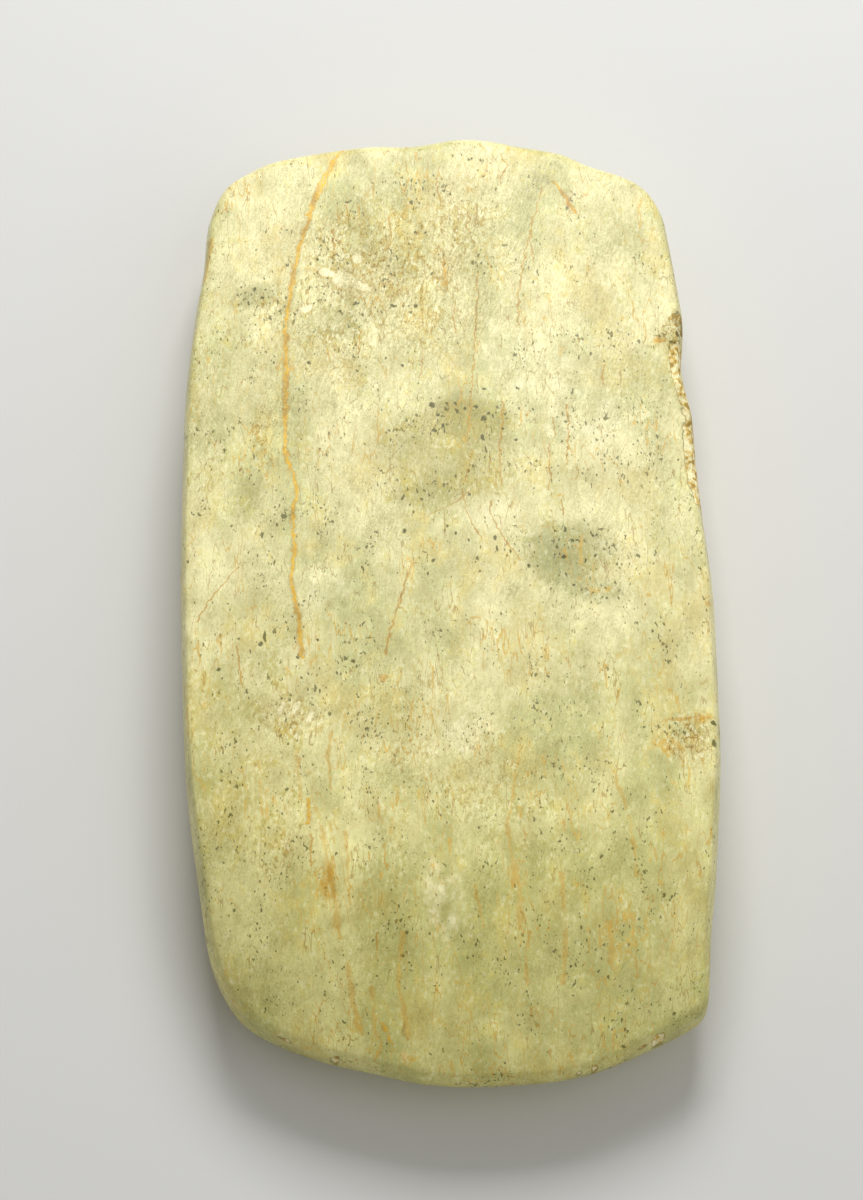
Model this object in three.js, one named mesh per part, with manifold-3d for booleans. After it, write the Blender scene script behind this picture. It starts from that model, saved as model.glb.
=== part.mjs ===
// Jadeite axe head: one ground and polished stone, lying on its lower face.
// Millimetres. The cutting edge is towards -Y, the butt towards +Y and the upper face towards +Z.
// The origin is under the middle of the stone, on the surface that it lies on.
import * as THREE from 'three';
import { mergeVertices } from 'three/addons/utils/BufferGeometryUtils.js';
import Module from 'manifold-3d';

// Overall sizes
const length = 108.5;
const width = 56;
const thickness = 15;

// Outline: each edge is one long arc. A bow is the arc's rise over the whole width or length,
// and a crest is the place along the edge where the arc stands out furthest.
const bladeBow = 11.9;
const buttBow = 5.6;
const rightBow = 4.3;
const leftBow = 4.8;
const bladeCrest = 2.4;
const buttCrest = -2.5;
const rightCrest = -3.4;
const leftCrest = 1;

// Corner radii
const buttRightRadius = 10.5;
const buttLeftRadius = 11;
const bladeLeftRadius = 14.2;
const bladeRightRadius = 4.9;

// How far each edge's rounding reaches in from the outline
const sideRounding = 1.6;
const buttRounding = 2.8;
const bladeRounding = 1;

// The faces: both swell towards the middle, thin out towards the butt and are ground to a bevel
// at the cutting edge. Drops are measured from the thickest place.
const crossDrop = 1.1;
const buttDrop = 2;
const thickestAt = -9;
const bevelLength = 21;
const bladeThickness = 2.2;
const bevelCurve = 1.75;
// The stone rests on a flat spot under the crown of its lower face. The crown stops this far over
// the surface that it lies on, and the flat spot's sides spread as they rise into the stone.
const crownClearance = 0.03;
const flatWidth = 20;
const flatLength = 42;
const flatMiddle = -12.5;
const flatRise = 1;
const flatSpread = 3;

// The butt arc stops short of the full length by what the swelling at its middle adds
const buttSwell = 0.75;

// Places where the outline leaves its arcs: x and y are shares of half the width and length,
// reach is half the length of edge that is touched and rise is outwards.
const departures = [
  { name: 'butt swelling', x: 0.16, y: 0.99, reach: 9, rise: buttSwell },
  { name: 'hollow left of the swelling', x: -0.08, y: 0.99, reach: 5, rise: -0.35 },
  { name: 'butt right of the swelling', x: 0.46, y: 0.96, reach: 5, rise: 0.3 },
  { name: 'hollow before the right shoulder', x: 0.66, y: 0.91, reach: 6, rise: -0.75 },
  { name: 'left shoulder', x: -0.92, y: 0.7, reach: 6, rise: -0.25 },
  { name: 'upper left side', x: -0.97, y: 0.42, reach: 12, rise: 0.22 },
  { name: 'lower left side', x: -0.98, y: -0.4, reach: 16, rise: 0.25 },
  { name: 'worn right side', x: 0.95, y: 0.22, reach: 17, rise: -0.75 },
  { name: 'hollow above the break', x: 0.92, y: 0.45, reach: 7.5, rise: -1 },
  { name: 'right side over the chip', x: 0.98, y: -0.38, reach: 12, rise: 0.22 },
  { name: 'right side under the chip', x: 0.94, y: -0.72, reach: 7, rise: -0.2 },
  { name: 'full corner left of the blade', x: -0.72, y: -0.86, reach: 10, rise: 0.4 },
  { name: 'worn left of the blade', x: -0.3, y: -0.97, reach: 6, rise: -0.3 },
  { name: 'full right of the blade', x: 0.43, y: -0.97, reach: 8, rise: 0.35 },
];

// Chips: each is a spheroid taken out of the rim. x and y are shares of half the width and length,
// lift is the share of half the thickness over the middle, sink is how deep it bites into the
// outline, and size gives its half axes across, along and up.
const chips = [
  { name: 'notch at the top of the break', x: 0.915, y: 0.53, lift: 0.8, sink: 1.1, size: [2, 1.7, 4.6] },
  { name: 'upper flake', x: 0.94, y: 0.43, lift: 0.95, sink: 1.15, size: [2.8, 4.2, 6.4] },
  { name: 'middle flake', x: 0.96, y: 0.3, lift: 1, sink: 1.2, size: [3, 5, 6.6] },
  { name: 'lower flake', x: 0.97, y: 0.16, lift: 0.95, sink: 1.05, size: [2.6, 4.4, 6] },
  { name: 'side chip near the blade', x: 0.99, y: -0.33, lift: 0.6, sink: 0.4, size: [1.5, 1.7, 3] },
  { name: 'small side chip', x: 0.97, y: -0.57, lift: 0.6, sink: 0.3, size: [1.2, 2, 2.6] },
  { name: 'nick at the right of the blade', x: 0.715, y: -0.925, lift: 0.1, sink: 0.45, size: [0.9, 0.8, 2.2] },
  { name: 'nick at the left of the blade', x: -0.45, y: -0.945, lift: 0.1, sink: 0.3, size: [0.9, 0.7, 2] },
  { name: 'nick in the middle of the blade', x: 0.49, y: -0.985, lift: 0.1, sink: 0.3, size: [0.8, 0.6, 2] },
];

// Fineness of the mesh
const stepsAlongSide = 26;
const stepsAlongBlade = 20;
const stepsAlongButt = 16;
const stepsAroundCorner = 7;
const roundingSteps = 5;
const faceSteps = 7;
const coreShare = 0.14;

const halfLength = length / 2;
const halfWidth = width / 2;
const halfThickness = thickness / 2;

function arcRadius(halfChord, bow) {
  return halfChord * halfChord / (2 * bow) + bow / 2;
}

// The four edges, going round from the right side to the butt, the left side and the blade
function makeEdges() {
  const right = arcRadius(halfLength, rightBow);
  const butt = arcRadius(halfWidth, buttBow);
  const left = arcRadius(halfLength, leftBow);
  const blade = arcRadius(halfWidth, bladeBow);
  const buttReach = halfLength + buttCrest * buttCrest / (2 * butt) - buttSwell;
  return [
    { centre: new THREE.Vector2(halfWidth - right, rightCrest), radius: right, rounding: sideRounding,
      steps: stepsAlongSide, corner: buttRightRadius },
    { centre: new THREE.Vector2(buttCrest, buttReach - butt), radius: butt, rounding: buttRounding,
      steps: stepsAlongButt, corner: buttLeftRadius },
    { centre: new THREE.Vector2(left - halfWidth, leftCrest), radius: left, rounding: sideRounding,
      steps: stepsAlongSide, corner: bladeLeftRadius },
    { centre: new THREE.Vector2(bladeCrest, blade - halfLength), radius: blade, rounding: bladeRounding,
      steps: stepsAlongBlade, corner: bladeRightRadius },
  ];
}

// The centre of the fillet between one edge and the next, at the crossing of their inner offsets
function filletCentre(edge, next) {
  const a = edge.radius - edge.corner;
  const b = next.radius - edge.corner;
  const across = next.centre.clone().sub(edge.centre);
  const apart = across.length();
  const along = (a * a - b * b + apart * apart) / (2 * apart);
  const aside = Math.sqrt(Math.max(a * a - along * along, 0));
  const unit = across.divideScalar(apart);
  // The edges run anticlockwise, so the corner lies to the left of the line between the centres
  return new THREE.Vector2(
    edge.centre.x + unit.x * along - unit.y * aside,
    edge.centre.y + unit.y * along + unit.x * aside,
  );
}

function bearing(from, to) {
  return Math.atan2(to.y - from.y, to.x - from.x);
}

function turnOnwards(start, end) {
  return end < start ? end + 2 * Math.PI : end;
}

// Points along an arc, with the rounding running from one value to the other, the last point left out
function sampleArc(centre, radius, start, end, steps, roundings) {
  const curve = new THREE.Path().absarc(centre.x, centre.y, radius, start, turnOnwards(start, end), false);
  return curve.curves[0].getPoints(steps).slice(0, steps).map((point, i) => ({
    point,
    normal: point.clone().sub(centre).normalize(),
    rounding: THREE.MathUtils.lerp(roundings[0], roundings[1], i / steps),
  }));
}

// The closed outline of the stone at the middle of its thickness, anticlockwise from above
function makeOutline(edges) {
  const fillets = edges.map((edge, i) => filletCentre(edge, edges[(i + 1) % edges.length]));
  const samples = edges.flatMap((edge, i) => {
    const next = edges[(i + 1) % edges.length];
    const before = fillets[(i + edges.length - 1) % edges.length];
    const after = fillets[i];
    const start = bearing(edge.centre, before);
    const end = bearing(edge.centre, after);
    const leave = bearing(next.centre, after);
    return [
      ...sampleArc(edge.centre, edge.radius, start, end, edge.steps, [edge.rounding, edge.rounding]),
      ...sampleArc(after, edge.corner, end, leave, stepsAroundCorner, [edge.rounding, next.rounding]),
    ];
  });
  for (const sample of samples) {
    sample.point.addScaledVector(sample.normal, riseAt(sample.point));
  }
  return samples;
}

// How far the outline stands out from its arcs at a point
function riseAt(point) {
  return departures.reduce((sum, { x, y, reach, rise }) => {
    const away = Math.hypot(point.x - x * halfWidth, point.y - y * halfLength) / reach;
    return sum + (away < 1 ? rise * Math.cos(away * Math.PI / 2) ** 2 : 0);
  }, 0);
}

// The outline's nearest place to a point: how far off it is and the rounding there
function nearestRim(x, y, outline) {
  let best = { away: Infinity, rounding: 0 };
  outline.forEach((sample, i) => {
    const next = outline[(i + 1) % outline.length];
    const dx = next.point.x - sample.point.x;
    const dy = next.point.y - sample.point.y;
    const along = ((x - sample.point.x) * dx + (y - sample.point.y) * dy) / (dx * dx + dy * dy);
    const share = THREE.MathUtils.clamp(along, 0, 1);
    const away = Math.hypot(x - sample.point.x - share * dx, y - sample.point.y - share * dy);
    if (away < best.away) {
      best = { away, rounding: THREE.MathUtils.lerp(sample.rounding, next.rounding, share) };
    }
  });
  return best;
}

// Half the stone's thickness at a point inside the outline
function halfHeight(x, y, outline, blade) {
  const across = crossDrop * (x / halfWidth) ** 2;
  const toButt = Math.max(y - thickestAt, 0) / (halfLength - thickestAt);
  const face = halfThickness - across - buttDrop * toButt ** 2;

  const aside = Math.min(Math.abs(x - blade.centre.x), blade.radius);
  const bladeEdge = blade.centre.y - Math.sqrt(blade.radius ** 2 - aside ** 2);
  const upBevel = 1 - THREE.MathUtils.clamp((y - bladeEdge) / bevelLength, 0, 1);
  const edgeShare = bladeThickness / thickness;
  const bevel = 1 - (1 - edgeShare) * upBevel ** bevelCurve;

  const rim = nearestRim(x, y, outline);
  const inwards = 1 - Math.min(rim.away / rim.rounding, 1);
  return face * bevel * Math.sqrt(1 - inwards * inwards);
}

// The place on the stone's middle line that a point of the outline is drawn in towards
function coreOf(point) {
  const reach = halfLength - halfWidth;
  return new THREE.Vector2(0, THREE.MathUtils.clamp(point.y, -reach, reach));
}

// Plan positions of one ring of the faces, counted inwards from the outline
function ringPlan(outline, ring) {
  return outline.map(({ point, rounding }) => {
    const core = coreOf(point);
    const reach = point.distanceTo(core);
    const round = Math.min(rounding, reach / 2);
    const inset = ring <= roundingSteps
      ? round * (1 - Math.cos(ring / roundingSteps * Math.PI / 2))
      : THREE.MathUtils.lerp(round, reach * (1 - coreShare), (ring - roundingSteps) / faceSteps);
    return point.clone().lerp(core, inset / reach);
  });
}

// Fills the innermost ring with triangles between its right and left halves, from the blade up
function fillCore(plan) {
  const count = plan.length;
  const heights = plan.map(({ y }) => y);
  const highest = heights.indexOf(Math.max(...heights));
  let right = heights.indexOf(Math.min(...heights));
  let left = (right + count - 1) % count;
  const triangles = [];
  while (triangles.length < count - 2) {
    const nextRight = (right + 1) % count;
    const nextLeft = (left + count - 1) % count;
    const climbRight = right !== highest && (left === highest || heights[nextRight] < heights[nextLeft]);
    triangles.push([right, climbRight ? nextRight : nextLeft, left]);
    right = climbRight ? nextRight : right;
    left = climbRight ? left : nextLeft;
  }
  return triangles;
}

// The whole stone before it was chipped, as one closed mesh
function makeBody(outline, blade) {
  const rings = roundingSteps + faceSteps;
  const count = outline.length;
  const vertices = [];
  const plans = [];
  for (let ring = 0; ring <= rings; ring += 1) {
    plans.push(ringPlan(outline, ring));
  }
  const lowerCrown = (halfThickness - crownClearance) / halfThickness;
  const heights = plans.map((plan, ring) => plan.map(
    ({ x, y }) => (ring === 0 ? 0 : halfHeight(x, y, outline, blade)),
  ));
  plans[0].forEach(({ x, y }) => vertices.push(x, y, halfThickness));
  for (let ring = 1; ring <= rings; ring += 1) {
    plans[ring].forEach(({ x, y }, i) => vertices.push(x, y, halfThickness + heights[ring][i]));
  }
  for (let ring = 1; ring <= rings; ring += 1) {
    plans[ring].forEach(({ x, y }, i) => {
      vertices.push(x, y, halfThickness - heights[ring][i] * lowerCrown);
    });
  }

  const upper = (ring, i) => ring * count + i % count;
  const lower = (ring, i) => (ring === 0 ? i % count : (rings + ring) * count + i % count);
  const faces = [];
  for (let ring = 0; ring < rings; ring += 1) {
    for (let i = 0; i < count; i += 1) {
      faces.push(upper(ring, i), upper(ring, i + 1), upper(ring + 1, i + 1));
      faces.push(upper(ring, i), upper(ring + 1, i + 1), upper(ring + 1, i));
      faces.push(lower(ring, i), lower(ring + 1, i + 1), lower(ring, i + 1));
      faces.push(lower(ring, i), lower(ring + 1, i), lower(ring + 1, i + 1));
    }
  }
  for (const [a, b, c] of fillCore(plans[rings])) {
    faces.push(upper(rings, a), upper(rings, b), upper(rings, c));
    faces.push(lower(rings, a), lower(rings, c), lower(rings, b));
  }

  const geometry = new THREE.BufferGeometry();
  geometry.setAttribute('position', new THREE.Float32BufferAttribute(vertices, 3));
  geometry.setIndex(faces);
  return geometry;
}

// The block that makes the flat spot under the crown
function makeRestingFlat() {
  const geometry = new THREE.BoxGeometry(flatWidth, flatLength, flatRise);
  const corners = geometry.attributes.position;
  for (let i = 0; i < corners.count; i += 1) {
    const spread = corners.getZ(i) > 0 ? flatSpread : 0;
    corners.setX(i, corners.getX(i) + Math.sign(corners.getX(i)) * spread);
    corners.setY(i, corners.getY(i) + Math.sign(corners.getY(i)) * spread);
  }
  geometry.translate(0, flatMiddle, flatRise / 2);
  return geometry;
}

// The spheroid that takes one chip out of the rim
function makeChip(chip, outline) {
  const aim = new THREE.Vector2(chip.x * halfWidth, chip.y * halfLength);
  const rim = outline.reduce((best, sample) => (
    sample.point.distanceTo(aim) < best.point.distanceTo(aim) ? sample : best));
  const [across, along, up] = chip.size;
  const centre = rim.point.clone().addScaledVector(rim.normal, across - chip.sink);
  const geometry = new THREE.IcosahedronGeometry(1, 2);
  geometry.scale(across, along, up);
  geometry.rotateZ(Math.atan2(rim.normal.y, rim.normal.x));
  geometry.translate(centre.x, centre.y, halfThickness * (1 + chip.lift));
  return geometry;
}

function toSolid(wasm, geometry) {
  const bare = geometry.clone();
  bare.deleteAttribute('normal');
  bare.deleteAttribute('uv');
  const merged = mergeVertices(bare, 1e-4);
  return new wasm.Manifold(new wasm.Mesh({
    numProp: 3,
    vertProperties: new Float32Array(merged.attributes.position.array),
    triVerts: new Uint32Array(merged.index.array),
  }));
}

function toGeometry(solid) {
  const { vertProperties, triVerts } = solid.getMesh();
  const geometry = new THREE.BufferGeometry();
  geometry.setAttribute('position', new THREE.Float32BufferAttribute(vertProperties, 3));
  geometry.setIndex(Array.from(triVerts));
  return geometry;
}

// Puts the origin under the middle of the geometry's box, at its lowest height
function centreOnBase(geometry) {
  geometry.computeBoundingBox();
  const { min, max } = geometry.boundingBox;
  geometry.translate(-(min.x + max.x) / 2, -(min.y + max.y) / 2, -min.z);
  geometry.computeVertexNormals();
  return geometry;
}

const wasm = await Module();
wasm.setup();

const edges = makeEdges();
const blade = edges[3];
const outline = makeOutline(edges);
const whole = toSolid(wasm, makeBody(outline, blade)).add(toSolid(wasm, makeRestingFlat()));
const stone = chips.reduce(
  (solid, chip) => solid.subtract(toSolid(wasm, makeChip(chip, outline))),
  whole,
);

const jadeite = new THREE.MeshStandardMaterial({ color: 0xd2cc90, roughness: 0.38, metalness: 0 });
const axeHead = new THREE.Mesh(centreOnBase(toGeometry(stone)), jadeite);
axeHead.name = 'axe_head';

const part = new THREE.Group();
part.add(axeHead);

export default part;
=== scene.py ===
"""A ground and polished jadeite axe head, lying on a pale floor in soft studio light."""
import logging
import math
from dataclasses import dataclass, field
from enum import Enum

import bpy
import numpy as np
from mathutils import Matrix, Vector, noise


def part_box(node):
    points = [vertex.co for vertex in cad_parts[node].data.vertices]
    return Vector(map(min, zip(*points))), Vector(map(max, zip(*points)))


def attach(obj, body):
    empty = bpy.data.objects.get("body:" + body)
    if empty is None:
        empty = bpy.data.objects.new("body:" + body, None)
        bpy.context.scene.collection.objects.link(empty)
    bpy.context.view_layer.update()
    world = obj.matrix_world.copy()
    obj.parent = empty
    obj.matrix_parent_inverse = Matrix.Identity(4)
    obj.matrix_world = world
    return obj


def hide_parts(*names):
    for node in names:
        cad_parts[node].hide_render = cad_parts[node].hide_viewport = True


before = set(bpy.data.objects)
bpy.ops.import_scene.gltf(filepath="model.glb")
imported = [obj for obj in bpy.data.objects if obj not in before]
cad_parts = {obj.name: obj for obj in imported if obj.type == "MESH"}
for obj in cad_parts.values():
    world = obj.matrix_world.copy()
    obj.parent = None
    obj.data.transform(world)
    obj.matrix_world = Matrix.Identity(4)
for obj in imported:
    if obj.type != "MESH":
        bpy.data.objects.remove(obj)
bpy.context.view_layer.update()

METRES = 0.001
NODE = "axe_head"
BAKE_MAP = "OFBake"
CURVE_REACH = 100.0

Array = np.ndarray
Pixel = tuple[float, float]
Colour = tuple[float, float, float]

log = logging.getLogger("axe_head")


def smooth(low: float, high: float, value: Array) -> Array:
    """Ease from 0 at low to 1 at high.

    Args:
        low: Value that gives 0.
        high: Value that gives 1; it may be under low.
        value: Values to ease.

    Returns:
        The eased values.
    """
    share = np.clip((value - low) / (high - low), 0.0, 1.0)
    return share * share * (3.0 - 2.0 * share)


def linear(red: int, green: int, blue: int) -> Colour:
    """Turn a display colour of 0 to 255 into the linear colour that shaders use.

    Args:
        red: Red from 0 to 255.
        green: Green from 0 to 255.
        blue: Blue from 0 to 255.

    Returns:
        The linear colour.
    """
    def channel(value: int) -> float:
        """Undo the display curve of one channel."""
        share = value / 255
        return share / 12.92 if share <= 0.04045 else ((share + 0.055) / 1.055) ** 2.4
    return channel(red), channel(green), channel(blue)


def rough_field(points: Array, size: float, octaves: int = 3, seed: float = 0.0) -> Array:
    """Sample smooth noise at points.

    Args:
        points: Positions in millimetres, one row each.
        size: Size of the largest bumps in millimetres.
        octaves: Layers of finer noise.
        seed: Offset that gives a different field.

    Returns:
        One value for each point, about -1 to 1.
    """
    places = points / size + seed
    return np.array([noise.fractal(Vector(p), 1.0, 2.0, octaves) for p in places.tolist()])


class Channel(Enum):
    """What a vertex attribute of the stone says about its place."""

    OLIVE = "olive"
    GREY = "grey"
    BROWN = "brown"
    PALE = "pale"
    ORANGE = "orange"
    SPECKLED = "speckled"
    BROKEN = "broken"
    UPPER = "upper"


@dataclass(frozen=True)
class PhotoView:
    """The camera that took the reference view, as it stands to the lying stone.

    Sizes are in millimetres in the stone's own frame, and pixels are those of the 863 by 1200 view.
    """

    columns: int = 863
    rows: int = 1200
    focal: float = 4663.0
    tilt: float = math.radians(25.0)
    roll: float = math.radians(1.5)
    distance: float = 491.4
    aim: tuple[float, float, float] = (-1.63, -0.18, 7.5)
    sensor: float = 36.0

    def axes(self) -> tuple[Array, Array, Array]:
        """Work out the camera's right, up and viewing directions.

        Returns:
            The three unit vectors.
        """
        level = np.array([1.0, 0.0, 0.0])
        rise = np.array([0.0, math.cos(self.tilt), math.sin(self.tilt)])
        forward = np.array([0.0, math.sin(self.tilt), -math.cos(self.tilt)])
        right = level * math.cos(self.roll) - rise * math.sin(self.roll)
        up = level * math.sin(self.roll) + rise * math.cos(self.roll)
        return right, up, forward

    def eye(self) -> Array:
        """Give the camera's place."""
        return np.array(self.aim) - self.axes()[2] * self.distance

    def at_height(self, pixel: Pixel, height: float) -> Array:
        """Find where a pixel's line of sight meets a level plane.

        Args:
            pixel: Column and row in the reference view.
            height: Height of the plane.

        Returns:
            The point that is met.
        """
        right, up, forward = self.axes()
        column = pixel[0] - (self.columns - 1) / 2
        row = (self.rows - 1) / 2 - pixel[1]
        ray = right * column + up * row + forward * self.focal
        eye = self.eye()
        return eye + ray * (height - eye[2]) / ray[2]

    def make_camera(self) -> bpy.types.Object:
        """Set up the scene's camera.

        Returns:
            The camera object.
        """
        data = bpy.data.cameras.new("camera")
        data.sensor_width = self.sensor
        data.lens = self.focal / self.rows * self.sensor
        data.clip_start = 0.01
        camera = bpy.data.objects.new("camera", data)
        right, up, forward = self.axes()
        turn = Matrix((right, up, -forward)).transposed().to_4x4()
        camera.matrix_world = Matrix.Translation(Vector(self.eye() * METRES)) @ turn
        bpy.context.collection.objects.link(camera)
        bpy.context.scene.camera = camera
        return camera


@dataclass(frozen=True)
class EdgeArc:
    """One long arc of the outline, and the corner that follows it going anticlockwise."""

    centre: Array
    radius: float
    rounding: float
    corner: float


@dataclass(frozen=True)
class Departure:
    """A place where the outline leaves its arcs: shares of the half sizes, then millimetres."""

    x: float
    y: float
    reach: float
    rise: float


@dataclass(frozen=True)
class Chip:
    """A spheroid broken out of the rim: shares of the half sizes, then millimetres."""

    x: float
    y: float
    lift: float
    sink: float
    size: tuple[float, float, float]
    roughness: float = 0.1


@dataclass(frozen=True)
class Break:
    """A stretch of the rim that has crumbled away: pixels of the reference view, then millimetres."""

    upper_end: Pixel
    lower_end: Pixel
    width: float
    rounding: float
    roughness: float


class Tint(Enum):
    """What a placed spot is made of."""

    DARK = "dark mineral"
    PALE = "bruised stone"
    RUST = "ochre stain"


@dataclass(frozen=True)
class Spot:
    """A crisp spot on the upper face, placed and sized in pixels of the reference view."""

    centre: Pixel
    reach: Pixel
    turn: float = 0.0


@dataclass(frozen=True)
class SpeckSize:
    """One size of the strewn dark specks, in millimetres."""

    size: tuple[float, float, float]
    threshold: float
    share: float
    seed: float


@dataclass(frozen=True)
class Patch:
    """A soft-edged area on the upper face, placed in pixels of the reference view."""

    centre: Pixel
    reach: Pixel
    strength: float = 1.0
    turn: float = 0.0
    edge: float = 0.6


class VeinKind(Enum):
    """How a vein looks."""

    SEAM = "wide amber seam"
    HAIR = "thin brown hairline"
    WISP = "soft ochre wisp"


@dataclass(frozen=True)
class Vein:
    """A mineral vein or healed crack on the upper face, by its course in the reference view."""

    course: tuple[Pixel, ...]
    width: float


# Where the worn outline swells or falls in
DEPARTURES = (
    Departure(0.16, 0.99, 9, 0.75),
    Departure(-0.08, 0.99, 5, -0.35),
    Departure(0.46, 0.96, 5, 0.3),
    Departure(0.66, 0.91, 6, -0.75),
    Departure(-0.92, 0.7, 6, -0.25),
    Departure(-0.81, 0.88, 4, 0.35),
    Departure(-0.97, 0.42, 12, 0.22),
    Departure(-0.98, -0.4, 16, 0.25),
    Departure(0.95, 0.22, 17, -0.75),
    Departure(0.92, 0.45, 7.5, -1),
    Departure(0.98, -0.38, 12, 0.22),
    Departure(0.94, -0.72, 7, -0.2),
    Departure(-0.72, -0.86, 10, 0.4),
    Departure(-0.3, -0.97, 6, -0.3),
    Departure(0.43, -0.97, 8, 0.35),
)

# The larger chips of the right side and the blade
CHIPS = (
    Chip(0.915, 0.545, 0.75, 1.7, (2.4, 1.1, 6.0), 0.25),
    Chip(0.99, -0.33, 0.6, 0.4, (1.5, 1.7, 3.0)),
    Chip(0.97, -0.57, 0.6, 0.3, (1.2, 2.0, 2.6)),
    Chip(0.715, -0.925, 0.1, 0.45, (0.9, 0.8, 2.2)),
    Chip(-0.45, -0.945, 0.1, 0.3, (0.9, 0.7, 2.0)),
    Chip(0.49, -0.985, 0.1, 0.3, (0.8, 0.6, 2.0)),
)

# The long break down the right side
BREAK = Break((679, 338), (700, 512), 1.35, 0.7, 0.34)

# Stained, pale, pitted and speckled areas
PATCHES: dict[Channel, tuple[Patch, ...]] = {
    Channel.OLIVE: (
        Patch((440, 458), (72, 54), 0.75, edge=0.4),
        Patch((456, 421), (54, 22), 1.0, edge=0.3),
        Patch((248, 500), (16, 24), 0.6),
        Patch((245, 750), (60, 90), 0.6, edge=0.9),
        Patch((240, 400), (34, 80), 0.4, edge=0.9),
        Patch((395, 250), (80, 64), 0.45),
        Patch((300, 440), (12, 18), 0.5),
        Patch((262, 430), (16, 34), 0.5),
        Patch((540, 850), (50, 60), 0.4),
        Patch((330, 330), (60, 30), 0.4),
    ),
    Channel.GREY: (
        Patch((566, 556), (42, 34), 1.0),
        Patch((592, 590), (30, 14), 0.8),
        Patch((610, 270), (50, 60), 0.35),
        Patch((258, 294), (20, 12), 0.8),
        Patch((355, 320), (50, 30), 0.5),
        Patch((205, 420), (20, 90), 0.4),
        Patch((640, 430), (50, 90), 0.35),
        Patch((385, 890), (34, 80), 0.5),
        Patch((480, 800), (60, 50), 0.35),
        Patch((590, 680), (40, 30), 0.4),
    ),
    Channel.BROWN: (
        Patch((400, 262), (84, 60), 0.75, edge=0.9),
        Patch((340, 235), (22, 34), 0.7, edge=0.8),
        Patch((460, 225), (40, 40), 0.65, edge=0.8),
        Patch((420, 320), (60, 40), 0.55, edge=0.8),
        Patch((330, 350), (60, 40), 0.45, edge=0.9),
        Patch((266, 440), (14, 34), 0.7),
        Patch((293, 717), (34, 20), 0.75),
        Patch((690, 738), (28, 24), 1.0),
        Patch((285, 855), (30, 24), 0.5),
        Patch((300, 300), (40, 30), 0.4),
        Patch((405, 755), (34, 34), 0.5),
        Patch((400, 690), (60, 30), 0.4),
        Patch((672, 336), (14, 10), 1.0),
        Patch((480, 770), (60, 40), 0.35),
    ),
    Channel.PALE: (
        Patch((490, 515), (30, 24), 0.5),
        Patch((320, 590), (34, 30), 0.45),
        Patch((560, 400), (50, 130), 0.5, 38, 0.8),
        Patch((460, 735), (34, 30), 0.5),
        Patch((440, 900), (24, 44), 0.5),
        Patch((250, 400), (40, 60), 0.4),
    ),
    Channel.ORANGE: (
        Patch((330, 880), (5, 26), 0.7, -8),
        Patch((360, 1028), (12, 12), 0.4),
        Patch((412, 1056), (14, 10), 0.4),
        Patch((598, 590), (20, 4), 0.35, 4),
        Patch((652, 597), (9, 3), 0.5),
        Patch((690, 717), (26, 6), 0.5),
        Patch((668, 745), (16, 10), 0.5),
        Patch((618, 925), (34, 30), 0.35, edge=0.9),
        Patch((660, 340), (8, 6), 0.8),
    ),
    Channel.SPECKLED: (
        Patch((462, 418), (56, 26), 1.0),
        Patch((258, 300), (34, 30), 1.0),
        Patch((330, 300), (70, 50), 0.6),
        Patch((566, 560), (70, 50), 0.7),
        Patch((620, 440), (60, 90), 0.7),
        Patch((400, 720), (170, 90), 0.5),
        Patch((260, 830), (70, 80), 0.5),
        Patch((600, 900), (90, 90), 0.5),
        Patch((400, 180), (120, 30), 0.4),
    ),
}

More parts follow.
